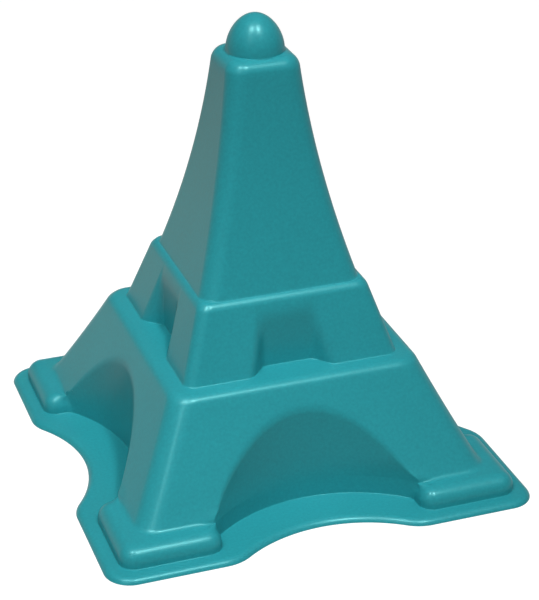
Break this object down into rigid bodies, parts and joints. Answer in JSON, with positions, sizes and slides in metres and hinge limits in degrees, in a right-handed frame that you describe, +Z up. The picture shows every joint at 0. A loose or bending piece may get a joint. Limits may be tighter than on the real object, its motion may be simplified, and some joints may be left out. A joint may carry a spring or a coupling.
{
  "type": "sand mould",
  "caption": "Thin open-bottomed sand mould shaped as a tower on arched legs, with a flat wavy rim, a niched upper tier, a flared spire and a round tip.",
  "frame": {"origin": "middle of the rim's underside, on the tower's axis", "axes": "+Z up along the tower's axis towards the tip, X and Y square to the sides"},
  "size_m": [0.171, 0.171, 0.1808],
  "materials": {
    "moulded_plastic": "satin teal moulded plastic with a fine grain"
  },
  "bodies": {
    "root": {"rim_flange": "moulded_plastic", "arched_legs": "moulded_plastic", "upper_tier": "moulded_plastic", "spire": "moulded_plastic", "dome_tip": "moulded_plastic"}
  },
  "joints": []
}
